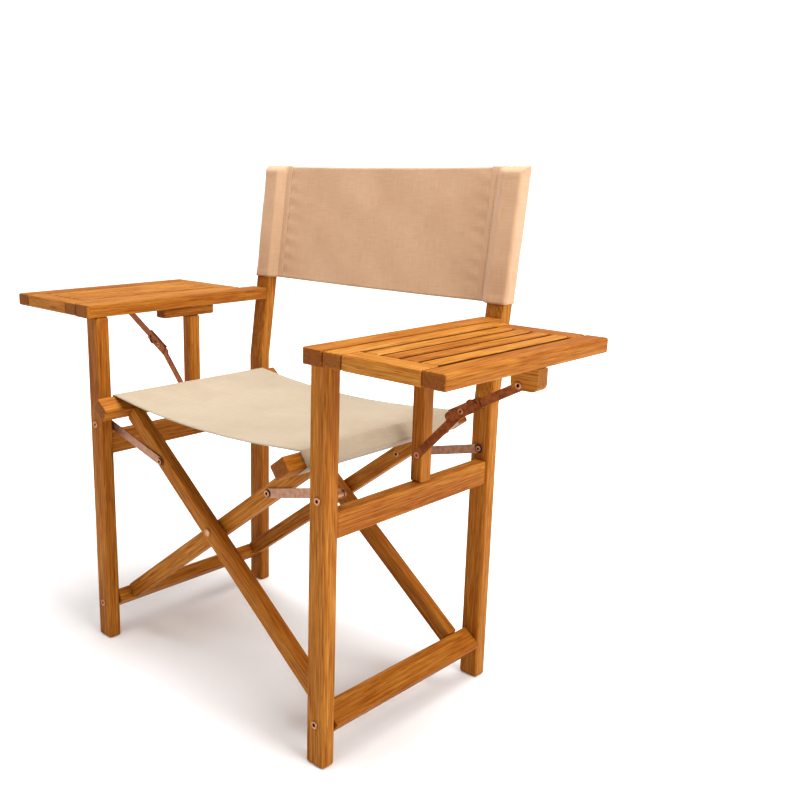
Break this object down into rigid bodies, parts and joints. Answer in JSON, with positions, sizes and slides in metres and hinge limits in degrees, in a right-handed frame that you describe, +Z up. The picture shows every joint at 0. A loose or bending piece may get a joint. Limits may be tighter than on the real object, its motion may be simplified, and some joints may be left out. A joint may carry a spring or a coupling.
{
  "type": "folding director's chair",
  "caption": "Folding wooden director's chair with canvas seat and back and a slatted drop-leaf table beside each armrest.",
  "frame": {"origin": "on the floor, at the middle of the open chair's bounding box", "axes": "+Z up, -Y the way the sitter faces, +X to the viewer's right seen from the front"},
  "size_m": [1.0062, 0.4844, 0.867],
  "materials": {
    "wood": "oiled",
    "metal": "bronze lacquer",
    "canvas_seat": "woven cotton",
    "canvas_back": "woven cotton"
  },
  "bodies": {
    "left_frame": {"left_front_leg": "wood", "left_rear_leg": "wood", "left_side_rail": "wood", "left_arm_post": "wood", "left_arm_block": "wood", "left_armrest": "wood", "left_hinge_1_fixed": "metal", "left_hinge_2_fixed": "metal", "left_rear_spacer": "metal", "back_canvas": "canvas_back"},
    "x_frame_b": {"right_seat_rail": "wood", "left_lower_bar": "wood", "x_frame_b_front_bar": "wood", "x_frame_b_rear_bar": "wood"},
    "x_frame_a": {"left_seat_rail": "wood", "right_lower_bar": "wood", "x_frame_a_front_bar": "wood", "x_frame_a_rear_bar": "wood", "front_cross_bolt": "metal", "rear_cross_bolt": "metal", "seat_canvas": "canvas_seat"},
    "right_frame": {"right_front_leg": "wood", "right_rear_leg": "wood", "right_side_rail": "wood", "right_arm_post": "wood", "right_arm_block": "wood", "right_armrest": "wood", "right_hinge_1_fixed": "metal", "right_hinge_2_fixed": "metal", "right_front_spacer": "metal"},
    "left_table": {"left_table_inner_bar": "wood", "left_table_outer_bar": "wood", "left_table_front_crossbar": "wood", "left_table_rear_crossbar": "wood", "left_table_slat_1": "wood", "left_table_slat_2": "wood", "left_table_slat_3": "wood", "left_table_slat_4": "wood", "left_table_block": "wood", "left_hinge_1_moving": "metal", "left_hinge_2_moving": "metal"},
    "right_table": {"right_table_inner_bar": "wood", "right_table_outer_bar": "wood", "right_table_front_crossbar": "wood", "right_table_rear_crossbar": "wood", "right_table_slat_1": "wood", "right_table_slat_2": "wood", "right_table_slat_3": "wood", "right_table_slat_4": "wood", "right_table_block": "wood", "right_hinge_1_moving": "metal", "right_hinge_2_moving": "metal"},
    "left_front_link_body": {"left_front_link": "metal"},
    "left_rear_link_body": {"left_rear_link": "metal"},
    "left_stay_lower_body": {"left_stay_lower": "metal"},
    "left_stay_upper_body": {"left_stay_upper": "metal"},
    "right_front_link_body": {"right_front_link": "metal"},
    "right_rear_link_body": {"right_rear_link": "metal"},
    "right_stay_lower_body": {"right_stay_lower": "metal"},
    "right_stay_upper_body": {"right_stay_upper": "metal"}
  },
  "joints": [
    {"name": "fold", "type": "hinge", "parent": "left_frame", "child": "x_frame_b", "pos_m": [-0.28, 0, 0.068], "axis": [0, -1, 0], "range_deg": [0, 42.3], "deforming": ["seat_canvas", "back_canvas"]},
    {"name": "cross", "type": "hinge", "parent": "x_frame_b", "child": "x_frame_a", "pos_m": [0, 0, 0.2813], "axis": [0, -1, 0], "range_deg": [-89.75, 0.5]},
    {"name": "right_foot_pivot", "type": "hinge", "parent": "x_frame_a", "child": "right_frame", "pos_m": [0.28, 0, 0.068], "axis": [0, -1, 0], "range_deg": [-0.5, 42.8]},
    {"name": "left_front_link_turn", "type": "hinge", "parent": "left_frame", "child": "left_front_link_body", "pos_m": [-0.28, 0, 0.41501], "axis": [0, -1, 0], "range_deg": [-0.5, 87.86]},
    {"name": "left_rear_link_turn", "type": "hinge", "parent": "left_frame", "child": "left_rear_link_body", "pos_m": [-0.28, 0, 0.41501], "axis": [0, -1, 0], "range_deg": [-0.5, 87.86]},
    {"name": "left_table_hinge", "type": "hinge", "parent": "left_frame", "child": "left_table", "pos_m": [-0.30125, 0, 0.6068], "axis": [0, -1, 0], "range_deg": [0, 90]},
    {"name": "left_stay_foot_pivot", "type": "hinge", "parent": "left_frame", "child": "left_stay_lower_body", "pos_m": [-0.286, -0.01192, 0.44], "axis": [0, -1, 0], "range_deg": [-46.55, 1]},
    {"name": "left_stay_head_pivot", "type": "hinge", "parent": "left_table", "child": "left_stay_upper_body", "pos_m": [-0.473, -0.01192, 0.584], "axis": [0, -1, 0], "range_deg": [-1, 31.66]},
    {"name": "right_front_link_turn", "type": "hinge", "parent": "right_frame", "child": "right_front_link_body", "pos_m": [0.28, 0, 0.41501], "axis": [0, -1, 0], "range_deg": [-87.86, 0.5]},
    {"name": "right_rear_link_turn", "type": "hinge", "parent": "right_frame", "child": "right_rear_link_body", "pos_m": [0.28, 0, 0.41501], "axis": [0, -1, 0], "range_deg": [-87.86, 0.5]},
    {"name": "right_table_hinge", "type": "hinge", "parent": "right_frame", "child": "right_table", "pos_m": [0.30125, 0, 0.6068], "axis": [0, 1, 0], "range_deg": [0, 90]},
    {"name": "right_stay_foot_pivot", "type": "hinge", "parent": "right_frame", "child": "right_stay_lower_body", "pos_m": [0.286, -0.01192, 0.44], "axis": [0, 1, 0], "range_deg": [-46.55, 1]},
    {"name": "right_stay_head_pivot", "type": "hinge", "parent": "right_table", "child": "right_stay_upper_body", "pos_m": [0.473, -0.01192, 0.584], "axis": [0, 1, 0], "range_deg": [-1, 31.66]}
  ],
  "couplings": [
    {"joint": "cross", "follows": "fold", "ratio": -2.11},
    {"joint": "right_foot_pivot", "follows": "fold", "ratio": 1},
    {"joint": "left_front_link_turn", "follows": "fold", "ratio": 2.0535},
    {"joint": "left_rear_link_turn", "follows": "fold", "ratio": 2.0535},
    {"joint": "left_stay_foot_pivot", "follows": "left_table_hinge", "ratio": -0.5061},
    {"joint": "left_stay_head_pivot", "follows": "left_table_hinge", "ratio": 0.3407},
    {"joint": "right_front_link_turn", "follows": "fold", "ratio": -2.0535},
    {"joint": "right_rear_link_turn", "follows": "fold", "ratio": -2.0535},
    {"joint": "right_stay_foot_pivot", "follows": "right_table_hinge", "ratio": -0.5061},
    {"joint": "right_stay_head_pivot", "follows": "right_table_hinge", "ratio": 0.3407}
  ]
}
